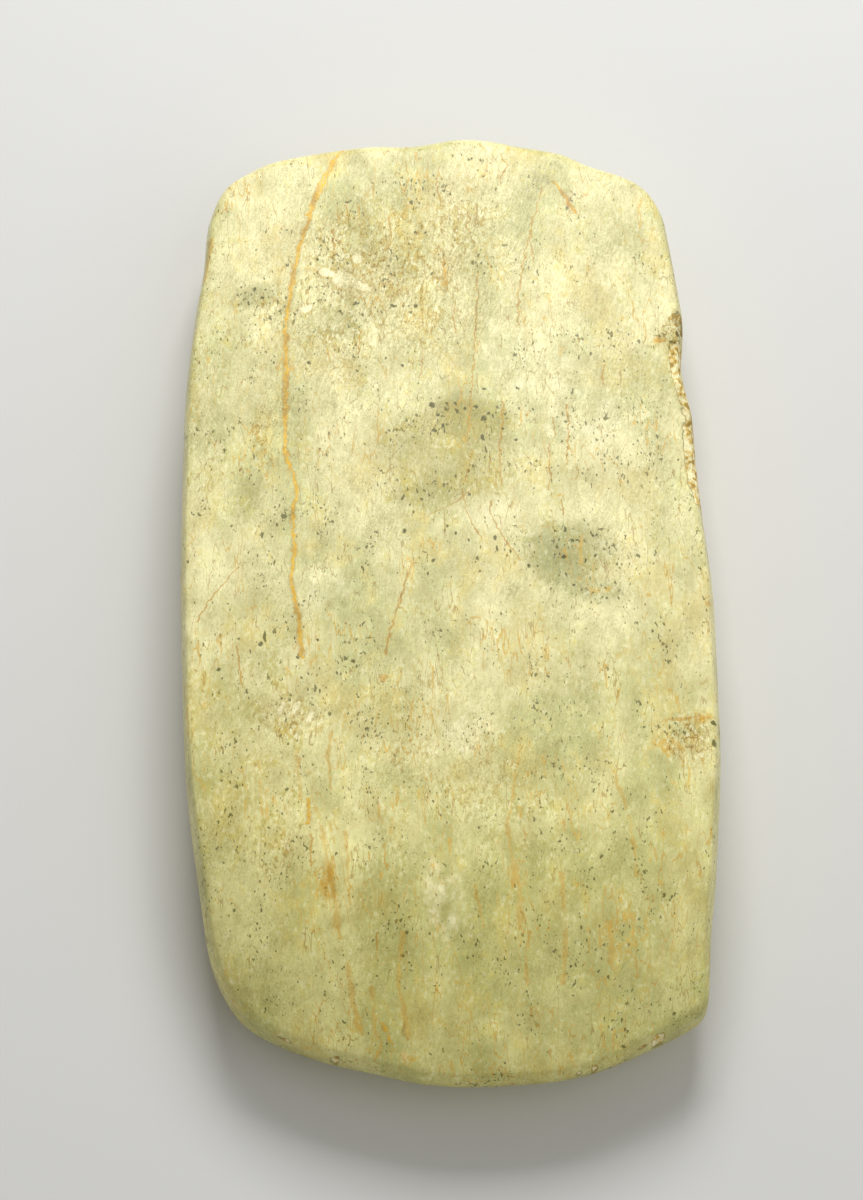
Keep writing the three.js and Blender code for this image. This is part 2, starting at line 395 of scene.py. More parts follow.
# The largest specks, the bruises and the ochre stains
SPOTS: dict[Tint, tuple[Spot, ...]] = {
    Tint.DARK: (
        Spot((431, 404), (3.1, 2.7)), Spot((446, 402), (1.6, 1.6)), Spot((455, 403), (1.6, 1.6)),
        Spot((457, 411), (1.6, 2.3)), Spot((464, 408), (1.6, 1.6)), Spot((475, 406), (2.3, 2)),
        Spot((483, 418), (3.5, 2.7)), Spot((488, 413), (1.6, 2.3)), Spot((482, 437), (2, 3.1)),
        Spot((443, 425), (1.2, 2)), Spot((434, 430), (3.1, 1.6)), Spot((437, 415), (1.6, 2)),
        Spot((493, 416), (1.2, 2.3)), Spot((502, 428), (1.6, 1.2)), Spot((517, 388), (2, 1.6)),
        Spot((484, 388), (1.6, 1.2)), Spot((515, 439), (2, 1.2)), Spot((404, 531), (2, 2.7)),
        Spot((433, 560), (2, 1.6)), Spot((447, 525), (1.6, 1.6)), Spot((455, 532), (1.2, 2)),
        Spot((468, 540), (1.2, 2.3)), Spot((494, 537), (1.6, 2.3)), Spot((496, 548), (1.2, 3.1)),
        Spot((510, 550), (1.2, 2.7)), Spot((555, 530), (1.2, 1.6)), Spot((565, 529), (1.6, 3.1)),
        Spot((577, 540), (2, 1.6)), Spot((563, 556), (2.7, 2)), Spot((556, 546), (1.6, 1.6)),
        Spot((585, 560), (1.2, 2.3)), Spot((595, 555), (1.6, 1.6)), Spot((574, 585), (1.6, 1.6)),
        Spot((528, 565), (1.6, 1.6)), Spot((264, 636), (2, 6.2)), Spot((260, 644), (2.3, 3.1)),
        Spot((218, 669), (2, 2)), Spot((317, 640), (1.6, 1.6)), Spot((297, 657), (1.6, 1.6)),
        Spot((353, 660), (2, 1.6)), Spot((347, 202), (2, 2)), Spot((411, 202), (2.3, 2.3)),
        Spot((415, 232), (1.6, 1.6)), Spot((425, 232), (1.6, 1.6)), Spot((355, 303), (2.3, 2)),
        Spot((340, 310), (2, 1.2)), Spot((415, 305), (2, 2)), Spot((308, 362), (2, 1.6)),
        Spot((402, 365), (1.6, 1.6)), Spot((254, 289), (1.6, 3.1)), Spot((262, 297), (2, 1.6)),
        Spot((248, 303), (1.2, 2.3)), Spot((677, 334), (2.3, 3.1)), Spot((672, 341), (3.9, 1.2)),
        Spot((713, 722), (3.1, 2)), Spot((714, 743), (2, 3.9)),
    ),
    Tint.PALE: (
        Spot((326, 272), (9, 4.5), turn=-24), Spot((343, 279), (12, 9), turn=-24),
        Spot((361, 286), (11, 4.5), turn=-24), Spot((357, 258), (5, 6)), Spot((305, 308), (6, 5)),
        Spot((296, 706), (3, 8), turn=-24), Spot((310, 716), (3, 7), turn=-24),
        Spot((281, 708), (2.5, 7), turn=-24),
    ),
    Tint.RUST: (
        Spot((571, 207), (3, 9), turn=36), Spot((513, 882), (2.5, 5)), Spot((329, 874), (2, 9)),
        Spot((333, 893), (2, 10)), Spot((708, 603), (2.5, 2.5)), Spot((475, 617), (5, 1.5)),
        Spot((383, 677), (5, 4)), Spot((661, 340), (6, 1.8)), Spot((700, 717), (14, 1.6)),
        Spot((676, 719), (12, 2)),
    ),
}

# The veins and cracks that can be told apart
VEINS: dict[VeinKind, tuple[Vein, ...]] = {
    VeinKind.SEAM: (
        Vein(
            ((344, 140), (341, 150), (314, 202), (299, 246), (292, 281), (285, 321), (286, 369), (285, 407),
             (284, 446), (289, 465), (297, 487), (292, 513), (294, 549), (291, 584), (298, 616), (302, 660)),
            0.42,
        ),
        Vein(((334, 158), (318, 186), (306, 216)), 0.3),
        Vein(((553, 180), (565, 196), (577, 214)), 0.3),
        Vein(((308, 797), (309, 812), (307, 824)), 0.36),
        Vein(((381, 1022), (392, 1045)), 0.26),
    ),
    VeinKind.HAIR: (
        Vein(((499, 152), (506, 164), (499, 183)), 0.2),
        Vein(((542, 185), (525, 250), (518, 292), (518, 327)), 0.16),
        Vein(((478, 271), (475, 330), (472, 378), (467, 443)), 0.18),
        Vein(((566, 403), (568, 430), (566, 465)), 0.18),
        Vein(((503, 400), (500, 443), (501, 485)), 0.18),
        Vein(((491, 500), (489, 512), (505, 540), (520, 560)), 0.18),
        Vein(((604, 363), (602, 385)), 0.2),
        Vein(((411, 562), (399, 603), (389, 630), (386, 655)), 0.24),
        Vein(((470, 490), (458, 500), (418, 520)), 0.18),
        Vein(((236, 645), (239, 668), (242, 685)), 0.24),
        Vein(((238, 566), (211, 597), (196, 622)), 0.2),
        Vein(((311, 833), (310, 866)), 0.2),
        Vein(((376, 931), (377, 950)), 0.24),
        Vein(((383, 843), (387, 870)), 0.2),
        Vein(((332, 230), (334, 245), (330, 258)), 0.15),
        Vein(((345, 203), (347, 218)), 0.15),
        Vein(((463, 206), (469, 218), (466, 227), (472, 233)), 0.16),
        Vein(((443, 256), (444, 267), (446, 280), (447, 292)), 0.16),
        Vein(((420, 338), (422, 356), (419, 378)), 0.15),
        Vein(((360, 330), (359, 343), (356, 354)), 0.14),
        Vein(((552, 416), (555, 433), (548, 447), (550, 477), (548, 490)), 0.14),
        Vein(((577, 465), (576, 479)), 0.14),
        Vein(((562, 498), (563, 515)), 0.18),
        Vein(((462, 488), (465, 507), (472, 523), (481, 538)), 0.14),
        Vein(((472, 448), (468, 466), (464, 482)), 0.14),
        Vein(((405, 160), (408, 176), (404, 196)), 0.13),
        Vein(((439, 165), (436, 184), (440, 204)), 0.13),
        Vein(((532, 215), (530, 240), (534, 262)), 0.13),
        Vein(((388, 214), (391, 232), (387, 250)), 0.15),
        Vein(((455, 300), (452, 316), (456, 334)), 0.15),
    ),
    VeinKind.WISP: (
        Vein(((331, 730), (327, 756), (331, 790)), 0.4),
        Vein(((520, 743), (512, 795), (506, 824), (513, 864), (522, 901)), 0.45),
        Vein(((613, 769), (629, 817), (634, 853), (636, 877)), 0.45),
        Vein(((474, 884), (477, 899), (483, 927)), 0.4),
        Vein(((528, 930), (525, 955), (527, 986)), 0.4),
        Vein(((316, 806), (326, 850), (336, 905), (338, 940)), 0.7),
        Vein(((347, 960), (352, 1000), (362, 1036)), 0.8),
        Vein(((212, 236), (207, 260), (204, 284)), 0.7),
        Vein(((372, 985), (376, 1040)), 0.6),
        Vein(((512, 860), (518, 885), (521, 930)), 0.8),
        Vein(((402, 930), (398, 980), (408, 1040)), 0.7),
        Vein(((560, 870), (566, 930), (562, 985)), 0.7),
        Vein(((296, 745), (301, 800)), 0.6),
        Vein(((345, 830), (350, 905)), 0.5),
        Vein(((258, 760), (262, 815)), 0.5),
        Vein(((609, 920), (612, 965)), 0.7),
    ),
}


@dataclass
class Outline:
    """The stone's edge at the middle of its thickness, as arcs joined by round corners."""

    half_width: float
    half_length: float
    blade_bow: float = 11.9
    butt_bow: float = 5.6
    right_bow: float = 4.3
    left_bow: float = 4.8
    blade_crest: float = 2.4
    butt_crest: float = -2.5
    right_crest: float = -3.4
    left_crest: float = 1.0
    butt_swell: float = 0.75
    side_rounding: float = 1.0
    butt_rounding: float = 2.5
    blade_rounding: float = 0.8
    corners: tuple[float, float, float, float] = (10.5, 11.0, 14.2, 3.0)
    spacing: float = 0.42
    arcs: list[EdgeArc] = field(default_factory=list)
    points: Array = field(default_factory=lambda: np.zeros((0, 2)))
    normals: Array = field(default_factory=lambda: np.zeros((0, 2)))
    roundings: Array = field(default_factory=lambda: np.zeros(0))

    def build(self) -> None:
        """Lay out the arcs and sample the whole outline."""
        self.arcs = self._make_arcs()
        count = len(self.arcs)
        fillets = [self._fillet(self.arcs[i], self.arcs[(i + 1) % count]) for i in range(count)]
        points, normals, roundings = [], [], []
        for i, arc in enumerate(self.arcs):
            following = self.arcs[(i + 1) % count]
            start, end = (self._bearing(arc.centre, fillets[j]) for j in (i - 1, i))
            leave = self._bearing(following.centre, fillets[i])
            stretches = (
                (arc.centre, arc.radius, start, end, arc.rounding, arc.rounding),
                (fillets[i], arc.corner, end, leave, arc.rounding, following.rounding),
            )
            for centre, radius, first, last, rounding, final in stretches:
                turn = (last - first) % (2 * math.pi)
                steps = max(2, round(turn * radius / self.spacing))
                share = np.arange(steps) / steps
                angle = first + turn * share
                normal = np.stack([np.cos(angle), np.sin(angle)], 1)
                points.append(centre + radius * normal)
                normals.append(normal)
                roundings.append(rounding + (final - rounding) * share)
        self.points = np.vstack(points)
        self.normals = np.vstack(normals)
        self.roundings = np.concatenate(roundings)
        self.points = self.points + self.normals * self._rises()[:, None]

    def _make_arcs(self) -> list[EdgeArc]:
        """Work out the right, butt, left and blade arcs.

        Returns:
            The arcs in anticlockwise order.
        """
        def radius(chord: float, bow: float) -> float:
            """Give the radius of an arc by half its chord and its rise."""
            return chord * chord / (2 * bow) + bow / 2
        right = radius(self.half_length, self.right_bow)
        butt = radius(self.half_width, self.butt_bow)
        left = radius(self.half_length, self.left_bow)
        blade = radius(self.half_width, self.blade_bow)
        top = self.half_length + self.butt_crest ** 2 / (2 * butt) - self.butt_swell
        return [
            EdgeArc(np.array([self.half_width - right, self.right_crest]), right,
                    self.side_rounding, self.corners[0]),
            EdgeArc(np.array([self.butt_crest, top - butt]), butt, self.butt_rounding, self.corners[1]),
            EdgeArc(np.array([left - self.half_width, self.left_crest]), left,
                    self.side_rounding, self.corners[2]),
            EdgeArc(np.array([self.blade_crest, blade - self.half_length]), blade,
                    self.blade_rounding, self.corners[3]),
        ]

    @staticmethod
    def _fillet(arc: EdgeArc, following: EdgeArc) -> Array:
        """Find the centre of the round corner between two arcs.

        Args:
            arc: The arc before the corner.
            following: The arc after it.

        Returns:
            The corner's centre.
        """
        a, b = arc.radius - arc.corner, following.radius - arc.corner
        across = following.centre - arc.centre
        apart = float(np.hypot(*across))
        along = (a * a - b * b + apart * apart) / (2 * apart)
        aside = math.sqrt(max(a * a - along * along, 0.0))
        unit = across / apart
        return arc.centre + unit * along + np.array([-unit[1], unit[0]]) * aside

    @staticmethod
    def _bearing(start: Array, end: Array) -> float:
        """Give the direction from one point to another as an angle."""
        return math.atan2(end[1] - start[1], end[0] - start[0])

    def _rises(self) -> Array:
        """Add up how far the outline stands out from its arcs.

        Returns:
            One rise for each sample.
        """
        total = np.zeros(len(self.points))
        for place in DEPARTURES:
            middle = np.array([place.x * self.half_width, place.y * self.half_length])
            away = np.clip(np.linalg.norm(self.points - middle, axis=1) / place.reach, 0, 1)
            total += place.rise * np.cos(away * math.pi / 2) ** 2
        return total

    def nearest(self, places: Array) -> tuple[Array, Array]:
        """Find how far places are inside the outline.

        Args:
            places: Plan positions, one row each.

        Returns:
            The distance to the outline and the rounding at the nearest part of it.
        """
        starts, ends = self.points, np.roll(self.points, -1, 0)
        step = ends - starts
        length = (step ** 2).sum(1)
        offset = places[:, None, :] - starts
        share = np.clip((offset * step).sum(2) / length, 0, 1)
        away = np.linalg.norm(offset - share[..., None] * step, axis=2)
        best = away.argmin(1)
        return away[np.arange(len(places)), best], self.roundings[best]


@dataclass
class Stone:
    """The axe head itself: one closed mesh with its chips, relief and mineral markings."""

    view: PhotoView
    length: float = 108.5
    width: float = 56.0
    cross_drop: float = 1.1
    butt_drop: float = 2.0
    thickest_at: float = -9.0
    bevel_length: float = 21.0
    blade_thickness: float = 2.2
    bevel_curve: float = 1.75
    crown_clearance: float = 0.03
    flat_width: float = 20.0
    flat_length: float = 42.0
    flat_middle: float = -12.5
    flat_slope: float = 1 / 3
    rounding_rings: int = 9
    upper_rings: int = 58
    lower_rings: int = 20
    core_share: float = 0.03
    strewn_chips: int = 46
    blade_share: float = 0.82
    seed: int = 7

    def __post_init__(self) -> None:
        """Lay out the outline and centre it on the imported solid."""
        low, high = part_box(NODE)
        self.half_width = self.width / 2
        self.half_length = self.length / 2
        self.half_height = (high.z - low.z) / 2 / METRES
        self.outline = Outline(self.half_width, self.half_length)
        self.outline.build()
        points = self.outline.points
        box_middle = np.array([(high.x + low.x) / 2, (high.y + low.y) / 2]) / METRES
        self.middle = box_middle - (points.max(0) + points.min(0)) / 2
        self.channels: dict[Channel, Array] = {}

    def half_thickness(self, plan: Array) -> Array:
        """Give half the smooth stone's thickness.

        Args:
            plan: Positions inside the outline, one row each.

        Returns:
            Heights over the middle of the thickness.
        """
        x, y = plan[:, 0], plan[:, 1]
        to_butt = np.clip(y - self.thickest_at, 0, None) / (self.half_length - self.thickest_at)
        face = self.half_height - self.cross_drop * (x / self.half_width) ** 2
        face = face - self.butt_drop * to_butt ** 2
        blade = self.outline.arcs[3]
        aside = np.minimum(np.abs(x - blade.centre[0]), blade.radius)
        edge = blade.centre[1] - np.sqrt(blade.radius ** 2 - aside ** 2)
        up_bevel = 1 - np.clip((y - edge) / self.bevel_length, 0, 1)
        edge_share = self.blade_thickness / (2 * self.half_height)
        bevel = 1 - (1 - edge_share) * up_bevel ** self.bevel_curve
        away, rounding = self.outline.nearest(plan)
        inwards = 1 - np.minimum(away / rounding, 1)
        return face * bevel * np.sqrt(1 - inwards ** 2)

    def _break_window(self, plan: Array) -> Array:
        """Tell how much of the crumbled stretch of the rim places are abreast of.

        Args:
            plan: Plan positions about the stone's own middle.

        Returns:
            Shares from 0 to 1.
        """
        top = self.on_top(BREAK.upper_end)[1] - self.middle[1]
        bottom = self.on_top(BREAK.lower_end)[1] - self.middle[1]
        inside = np.minimum(top - plan[:, 1], plan[:, 1] - bottom)
        return smooth(0.0, 1.0, inside) * (plan[:, 0] > 0)

    def _sharpen_break(self) -> None:
        """Take the rounding away where the rim has crumbled."""
        window = self._break_window(self.outline.points)
        self.outline.roundings = self.outline.roundings + (BREAK.rounding - self.outline.roundings) * window

    def _flat_spot(self, plan: Array) -> Array:
        """Give the height of the flat spot that the stone rests on and of its spreading sides.

        Args:
            plan: Plan positions about the stone's own middle.

        Returns:
            The height at each position.
        """
        beside = np.abs(plan[:, 0]) - self.flat_width / 2
        beyond = np.abs(plan[:, 1] - self.flat_middle) - self.flat_length / 2
        return np.maximum(np.maximum(beside, beyond), 0) * self.flat_slope

    def on_top(self, pixel: Pixel) -> Array:
        """Find the place on the upper face that a pixel of the reference view shows.

        Args:
            pixel: Column and row.

        Returns:
            Plan position in millimetres.
        """
        height = 2 * self.half_height
        place = self.view.at_height(pixel, height)
        for _ in range(4):
            plan = (place[:2] - self.middle)[None]
            height = self.half_height + float(self.half_thickness(plan)[0])
            place = self.view.at_height(pixel, height)
        return place[:2]

    def _rings(self, steps: int) -> list[Array]:
        """Draw the outline in towards the middle line.

        Args:
            steps: Rings on the face, inside the rounding.

        Returns:
            Plan positions of each ring, from the outline inwards.
        """
        points = self.outline.points
        reach = self.half_length - self.half_width
        core = np.stack([np.zeros(len(points)), np.clip(points[:, 1], -reach, reach)], 1)
        length = np.linalg.norm(points - core, axis=1)
        rounding = np.minimum(self.outline.roundings, length / 2)
        rings = []
        for ring in range(self.rounding_rings + steps + 1):
            if ring <= self.rounding_rings:
                inset = rounding * (1 - math.cos(ring / self.rounding_rings * math.pi / 2))
            else:
                share = (ring - self.rounding_rings) / steps
                inset = rounding + (length * (1 - self.core_share) - rounding) * share
            rings.append(points + (core - points) * (inset / length)[:, None])
        return rings

    def _surface(self) -> tuple[Array, list[tuple[int, ...]], Array, Array]:
        """Make the smooth stone.

        Returns:
            Vertices, faces, and the plan positions for the bake map with the face each belongs to.
        """
        upper = self._rings(self.upper_rings)
        lower = self._rings(self.lower_rings)
        count = len(self.outline.points)
        crown = (self.half_height - self.crown_clearance) / self.half_height
        vertices = [np.column_stack([upper[0], np.full(count, self.half_height)])]
        for plan in upper[1:]:
            vertices.append(np.column_stack([plan, self.half_height + self.half_thickness(plan)]))
        for plan in lower[1:]:
            height = self.half_height - self.half_thickness(plan) * crown
            vertices.append(np.column_stack([plan, np.minimum(height, self._flat_spot(plan))]))
        faces: list[tuple[int, ...]] = []
        steps = np.arange(count)
        onward = (steps + 1) % count

        def band(outer: Array, inner: Array, outer_next: Array, inner_next: Array) -> None:
            """Add one ring of quads that face up when outer comes first."""
            faces.extend(zip(outer.tolist(), outer_next.tolist(), inner_next.tolist(), inner.tolist()))
        for ring in range(len(upper) - 1):
            base, inner = ring * count, (ring + 1) * count
            band(base + steps, inner + steps, base + onward, inner + onward)
        first_lower = len(upper) * count
        for ring in range(len(lower) - 1):
            base = 0 if ring == 0 else first_lower + (ring - 1) * count
            inner = first_lower + ring * count
            band(base + onward, inner + onward, base + steps, inner + steps)
        last_upper = (len(upper) - 1) * count
        last_lower = first_lower + (len(lower) - 2) * count
        for right, tip, left in self._fill(upper[-1]):
            faces.append((last_upper + right, last_upper + tip, last_upper + left))
        for right, tip, left in self._fill(lower[-1]):
            faces.append((last_lower + left, last_lower + tip, last_lower + right))
        return np.vstack(vertices), faces, upper, lower

    @staticmethod
    def _fill(plan: Array) -> list[tuple[int, int, int]]:
        """Fill the innermost ring between its right and left halves.

        Args:
            plan: The ring's positions, anticlockwise.

        Returns:
            Triangles that face up.
        """
        count = len(plan)
        heights = plan[:, 1]
        highest = int(heights.argmax())
        right = int(heights.argmin())
        left = (right - 1) % count
        triangles = []
        while len(triangles) < count - 2:
            up_right, up_left = (right + 1) % count, (left - 1) % count
            climb = right != highest and (left == highest or heights[up_right] < heights[up_left])
            triangles.append((right, up_right if climb else up_left, left))
            right, left = (up_right, left) if climb else (right, up_left)
        return triangles

    def _strew_chips(self) -> list[Chip]:
        """Add small chips at random places of the rim to the placed ones.

        Returns:
            All chips.
        """
        random = np.random.default_rng(self.seed)
        chips = list(CHIPS)
        for _ in range(self.strewn_chips):
            place = self.outline.points[random.integers(len(self.outline.points))]
            blade = place[1] < -self.blade_share * self.half_length
            size = random.uniform(0.35, 0.9) * (0.7 if blade else 1.0)
            chips.append(Chip(
                place[0] / self.half_width, place[1] / self.half_length,
                0.05 if blade else random.uniform(0.1, 0.8),
                size * random.uniform(0.25, 0.4),
                (size, size * random.uniform(0.8, 2.0), size * (1.0 if blade else 1.6)),
            ))
        return chips

    def _crumble(self, vertices: Array) -> Array:
        """Roughen the stretch of the rim that has crumbled away.

        Args:
            vertices: The smooth stone's vertices, changed in place.

        Returns:
            How broken each vertex is, from 0 to 1.
        """
        broken = np.zeros(len(vertices))
        beside = np.flatnonzero(self._break_window(vertices) > 0)
        window = self._break_window(vertices[beside])
        away = self.outline.nearest(vertices[beside, :2])[0]
        crumble = rough_field(vertices[beside], 1.1, 4, 21.0)
        scallops = rough_field(vertices[beside] * np.array([0.0, 1.0, 0.0]), 3.2, 3, 27.0)
        reach = BREAK.width * (1 + 0.45 * scallops) * window
        gone = smooth(0.0, 0.25, reach - away)
        steep = np.clip(1 - away / BREAK.width, 0, 1)
        vertices[beside, 0] -= gone * BREAK.roughness * (0.5 + crumble) * (1 - steep)
        outwards = np.sign(vertices[beside, 2] - self.half_height)
        vertices[beside, 2] -= gone * (0.25 + BREAK.roughness * crumble) * outwards
        broken[beside] = gone
        return broken

    def _press(self, chip: Chip, vertices: Array, jitter: Array, broken: Array) -> None:
        """Press one chip into the rim.

        Args:
            chip: The chip.
            vertices: The stone's vertices, changed in place.
            jitter: Noise at each vertex that roughens the chip's surface.
            broken: How broken each vertex is, changed in place.
        """
        aim = np.array([chip.x * self.half_width, chip.y * self.half_length])
        nearest = int(np.linalg.norm(self.outline.points - aim, axis=1).argmin())
        normal = self.outline.normals[nearest]
        size = np.array(chip.size)
        centre = np.append(
            self.outline.points[nearest] + normal * (chip.size[0] - chip.sink),
            self.half_height * (1 + chip.lift),
        )
        turn = np.array([[normal[0], normal[1], 0], [-normal[1], normal[0], 0], [0, 0, 1]])
        local = (vertices - centre) @ turn.T / size
        away = np.linalg.norm(local, axis=1)
        bound = 1 + chip.roughness * jitter
        inside = (away < bound) & (away > 1e-6)
        moved = local[inside] / away[inside, None] * bound[inside, None]
        depth = (bound[inside] - away[inside]) * chip.size[0]
        vertices[inside] = centre + (moved * size) @ turn
        broken[inside] = np.maximum(broken[inside], smooth(0.02, 0.16, depth))

    def _break_out(self, vertices: Array) -> Array:
        """Crumble the break and press the chips into the mesh.

        Args:
            vertices: The smooth stone's vertices, changed in place.

        Returns:
            How broken each vertex is, from 0 to 1.
        """
        jitter = rough_field(vertices, 1.3, 3)
        broken = self._crumble(vertices)
        for chip in self._strew_chips():
            self._press(chip, vertices, jitter, broken)
        return broken

    def _cover(self, patch: Patch, plan: Array) -> Array:
        """Tell how strongly a patch covers places.

        Args:
            patch: The patch.
            plan: Plan positions, one row each.

        Returns:
            Strengths from 0 to the patch's own.
        """
        pixel = self.view.distance / self.view.focal
        turn = math.radians(patch.turn) + self.view.roll
        offset = plan - self.on_top(patch.centre)
        along = offset[:, 0] * math.cos(turn) + offset[:, 1] * math.sin(turn)
        across = offset[:, 1] * math.cos(turn) - offset[:, 0] * math.sin(turn)
        reach_x = patch.reach[0] * pixel
        reach_y = patch.reach[1] * pixel / math.cos(self.view.tilt)
        away = np.hypot(along / reach_x, across / reach_y)
        return patch.strength * (1 - smooth(1 - patch.edge, 1 + patch.edge, away))

    def _paint(self, vertices: Array, broken: Array, lower_start: int) -> None:
        """Fill the channels that the finish reads.

        Args:
            vertices: The stone's vertices.
            broken: How broken each vertex is.
            lower_start: Index of the first vertex of the lower face.
        """
        warp = np.column_stack([
            rough_field(vertices[:lower_start], 5.0, 4, seed) for seed in (3.1, 11.7)
        ])
        top = vertices[:lower_start, :2] + warp * 1.1
        for channel in Channel:
            self.channels[channel] = np.zeros(len(vertices))
        for channel, patches in PATCHES.items():
            values = self.channels[channel]
            for patch in patches:
                values[:lower_start] = np.maximum(values[:lower_start], self._cover(patch, top))
        self.channels[Channel.BROKEN] = broken
        self.channels[Channel.UPPER] = smooth(0.8, 1.3, vertices[:, 2] / self.half_height)

    def _relief(self, vertices: Array, lower_start: int) -> None:
        """Give the ground faces their slight unevenness, pits and scars.

        Args:
            vertices: The stone's vertices, changed in place.
            lower_start: Index of the first vertex of the lower face.
        """
        top = vertices[:lower_start]
        share = smooth(1.02, 1.25, top[:, 2] / self.half_height)
        waves = 0.05 * rough_field(top, 14.0, 2) + 0.022 * rough_field(top, 4.0, 3, 5.0)
        brown = self.channels[Channel.BROWN][:lower_start]
        broken = self.channels[Channel.BROKEN][:lower_start]
        pits = smooth(0.05, 0.6, rough_field(top * np.array([1.0, 0.7, 1.0]), 1.6, 3, 9.0))
        grain = rough_field(top, 0.8, 2, 2.0)
        top[:, 2] += share * (waves - pits * (0.015 + 0.09 * brown) + 0.05 * broken * grain)
        top[:, 2] = np.minimum(top[:, 2], 2 * self.half_height)

    def build(self) -> bpy.types.Object:
        """Make the stone's object.

        Returns:
            The finished piece, without its material.
        """
        self._sharpen_break()
        vertices, faces, upper, lower = self._surface()
        count = len(self.outline.points)
        lower_start = len(upper) * count
        bake = self._bake_plan(vertices, lower_start, count)
        broken = self._break_out(vertices)
        self._paint(vertices, broken, lower_start)
        self._relief(vertices, lower_start)
        vertices[:, :2] += self.middle
        vertices[:, 2] = np.clip(vertices[:, 2], 0, None)
        mesh = bpy.data.meshes.new("stone")
        mesh.from_pydata((vertices * METRES).tolist(), [], faces)
        mesh.validate()
        mesh.shade_smooth()
        for channel, values in self.channels.items():
            layer = mesh.attributes.new(channel.value, "FLOAT", "POINT")
            layer.data.foreach_set("value", values.astype(np.float32))
        self._map_for_bake(mesh, bake, lower_start)
        stone = bpy.data.objects.new("polished_stone", mesh)
        bpy.context.collection.objects.link(stone)
        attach(stone, "root")
        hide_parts(NODE)
        return stone

    @staticmethod
    def _bake_plan(vertices: Array, lower_start: int, count: int) -> tuple[Array, Array]:
        """Lay both faces out flat, keeping lengths from the middle to the rim.

        Args:
            vertices: The smooth stone's vertices.
            lower_start: Index of the first vertex of the lower face.
            count: Vertices in a ring.

        Returns:
            Plan positions of the upper vertices and, from the rim inwards, of the lower ones.
        """
        plans = []
        for stack in (vertices[:lower_start], np.vstack([vertices[:count], vertices[lower_start:]])):
            rings = stack.reshape(-1, count, 3)[::-1]
            plan = np.empty(rings.shape[:2] + (2,))
            plan[0] = rings[0, :, :2]
            for i in range(1, len(rings)):
                step = rings[i] - rings[i - 1]
                flat = np.linalg.norm(step[:, :2], axis=1)
                stretch = np.linalg.norm(step, axis=1) / np.maximum(flat, 1e-6)
                plan[i] = plan[i - 1] + step[:, :2] * np.minimum(stretch, 12)[:, None]
            plans.append(plan[::-1].reshape(-1, 2))
        return plans[0], plans[1]

    @staticmethod
    def _map_for_bake(mesh: bpy.types.Mesh, plans: tuple[Array, Array], lower_start: int) -> None:
        """Store the flat layout as a UV map of two islands.

        Args:
            mesh: The stone's mesh.
            plans: Flat positions of the upper and the lower face.
            lower_start: Index of the first vertex of the lower face.
        """
        upper, lower = plans
        span = max(np.ptp(upper[:, 1]), np.ptp(lower[:, 1]), 2 * np.ptp(upper[:, 0]) + 4)
        scale = 0.98 / span
        layer = mesh.uv_layers.new(name=BAKE_MAP)
        loops = np.empty(len(mesh.loops), int)
        mesh.loops.foreach_get("vertex_index", loops)
        count = len(lower) - (len(mesh.vertices) - lower_start)
        low_face = np.zeros(len(mesh.loops), bool)
        for polygon in mesh.polygons:
            if max(polygon.vertices) >= lower_start:
                low_face[polygon.loop_start:polygon.loop_start + polygon.loop_total] = True
        below = np.where(loops < lower_start, np.minimum(loops, count - 1), loops - lower_start + count)
        places = np.where(low_face[:, None], lower[below], upper[np.minimum(loops, lower_start - 1)])
        centre = np.where(low_face, 0.75, 0.25)
        uv = np.column_stack([places[:, 0] * scale + centre, places[:, 1] * scale + 0.5])
        layer.data.foreach_set("uv", uv.astype(np.float32).ravel())


class Wire:
    """A socket's value that Python's operators work on, by adding Math nodes."""

    def __init__(self, shader: "Shader", socket: bpy.types.NodeSocket) -> None:
        """Hold a socket of a shader's tree.

        Args:
            shader: The shader that the socket belongs to.
            socket: The output socket.
        """
        self.shader = shader
        self.socket = socket

    def _math(self, operation: str, first: "Wire | float", second: "Wire | float") -> "Wire":
        """Add one Math node on two values."""
        made = self.shader.node("ShaderNodeMath", {"operation": operation}, {0: first, 1: second})
        return Wire(self.shader, made.outputs[0])

    def __add__(self, other: "Wire | float") -> "Wire":
        """Add."""
        return self._math("ADD", self, other)

    def __radd__(self, other: float) -> "Wire":
        """Add to a number."""
        return self._math("ADD", other, self)

    def __sub__(self, other: "Wire | float") -> "Wire":
        """Subtract."""
        return self._math("SUBTRACT", self, other)

    def __rsub__(self, other: float) -> "Wire":
        """Subtract from a number."""
        return self._math("SUBTRACT", other, self)

    def __mul__(self, other: "Wire | float") -> "Wire":
        """Multiply."""
        return self._math("MULTIPLY", self, other)

    def __rmul__(self, other: float) -> "Wire":
        """Multiply a number."""
        return self._math("MULTIPLY", other, self)

    def __abs__(self) -> "Wire":
        """Drop the sign."""
        return self._math("ABSOLUTE", self, 0.0)

    def least(self, other: "Wire | float") -> "Wire":
        """Take the smaller of two values."""
        return self._math("MINIMUM", self, other)

    def ease(self, low: float, high: float) -> "Wire":
        """Ease from 0 at low to 1 at high.

        Args:
            low: Value that gives 0.
            high: Value that gives 1; it may be under low.

        Returns:
            The eased value.
        """
        rising = high > low
        made = self.shader.node(
            "ShaderNodeMapRange", {"interpolation_type": "SMOOTHSTEP"},
            {"Value": self, "From Min": low if rising else high, "From Max": high if rising else low,
             "To Min": 0.0 if rising else 1.0, "To Max": 1.0 if rising else 0.0},
        )
        return Wire(self.shader, made.outputs[0])


